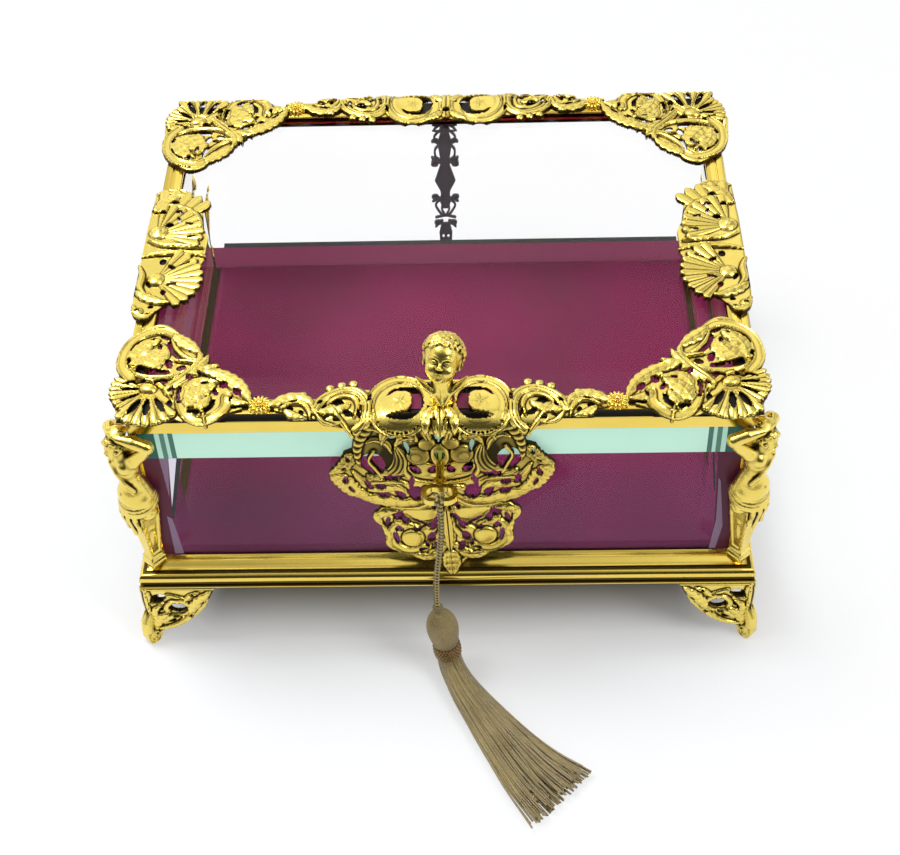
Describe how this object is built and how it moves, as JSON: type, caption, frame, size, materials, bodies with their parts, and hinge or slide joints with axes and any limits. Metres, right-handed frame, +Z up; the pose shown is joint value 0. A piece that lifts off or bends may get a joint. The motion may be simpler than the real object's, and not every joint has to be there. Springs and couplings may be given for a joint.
{
  "type": "glass casket box",
  "caption": "Bevelled glass casket in a gilt brass frame with scroll feet, corner figures, pierced lid mounts, hinged lid, lock, key and tassel.",
  "frame": {"origin": "on the table, under the middle of the object's outline without its cord and tassel", "axes": "+X to the right seen from the keyhole's side, +Y to the hinges at the back, +Z up"},
  "size_m": [0.268, 0.3113, 0.1694],
  "materials": {
    "gilt_brass": "polished gilt with darker recesses",
    "clear_glass": "clear plate glass with polished bevels, faintly green",
    "wine_satin": "satin, wine coloured, over a firm pad",
    "bronze_thread": "silky twisted thread, olive bronze",
    "lock_steel": "bright steel"
  },
  "bodies": {
    "casket": {"base_plate": "gilt_brass", "base_rail_front": "gilt_brass", "base_rail_back": "gilt_brass", "base_rail_left": "gilt_brass", "base_rail_right": "gilt_brass", "foot_front_left": "gilt_brass", "foot_front_right": "gilt_brass", "foot_back_left": "gilt_brass", "foot_back_right": "gilt_brass", "lining_pad": "wine_satin", "glass_front": "clear_glass", "glass_back": "clear_glass", "glass_left": "clear_glass", "glass_right": "clear_glass", "post_front_left": "gilt_brass", "post_front_right": "gilt_brass", "post_back_left": "gilt_brass", "post_back_right": "gilt_brass", "figure_front_left": "gilt_brass", "figure_front_right": "gilt_brass", "figure_back_left": "gilt_brass", "figure_back_right": "gilt_brass", "top_rail_front": "gilt_brass", "top_rail_back": "gilt_brass", "top_rail_left": "gilt_brass", "top_rail_right": "gilt_brass", "rear_strip": "gilt_brass", "escutcheon": "gilt_brass", "lock_case": "gilt_brass", "lock_cover": "gilt_brass", "case_screws": "gilt_brass", "hinge_leaf_left": "gilt_brass", "hinge_leaf_right": "gilt_brass", "hinge_pin_left": "gilt_brass", "hinge_pin_right": "gilt_brass", "cord": "bronze_thread", "tassel_head": "bronze_thread", "tassel_beads": "bronze_thread", "tassel_skirt": "bronze_thread"},
    "lid": {"lid_leaf_left": "gilt_brass", "lid_leaf_right": "gilt_brass", "lid_rail_front": "gilt_brass", "lid_rail_back": "gilt_brass", "lid_rail_left": "gilt_brass", "lid_rail_right": "gilt_brass", "lid_glass": "clear_glass", "corner_mount_front_left": "gilt_brass", "corner_mount_front_right": "gilt_brass", "corner_mount_back_left": "gilt_brass", "corner_mount_back_right": "gilt_brass", "centre_mount_front": "gilt_brass", "centre_mount_back": "gilt_brass", "side_mount_left": "gilt_brass", "side_mount_right": "gilt_brass", "lid_rosettes": "gilt_brass", "lid_rivets": "gilt_brass", "child_head": "gilt_brass", "lid_catch": "lock_steel"},
    "lock_bolt": {"lock_bolt": "lock_steel"},
    "key": {"key": "gilt_brass"}
  },
  "joints": [
    {"name": "lid_hinge", "type": "hinge", "parent": "casket", "child": "lid", "pos_m": [0, 0.1085, 0.13165], "axis": [-1, 0, 0], "range_deg": [0, 100]},
    {"name": "key_turn", "type": "hinge", "parent": "casket", "child": "key", "pos_m": [0, -0.0905, 0.11], "axis": [0, 1, 0], "range_deg": [-90, 90]},
    {"name": "bolt_slide", "type": "slide", "parent": "casket", "child": "lock_bolt", "axis": [1, 0, 0], "range_m": [-0.003, 0.003]}
  ],
  "couplings": [
    {"joint": "bolt_slide", "follows": "key_turn", "m_per_rad": 0.0019098}
  ]
}
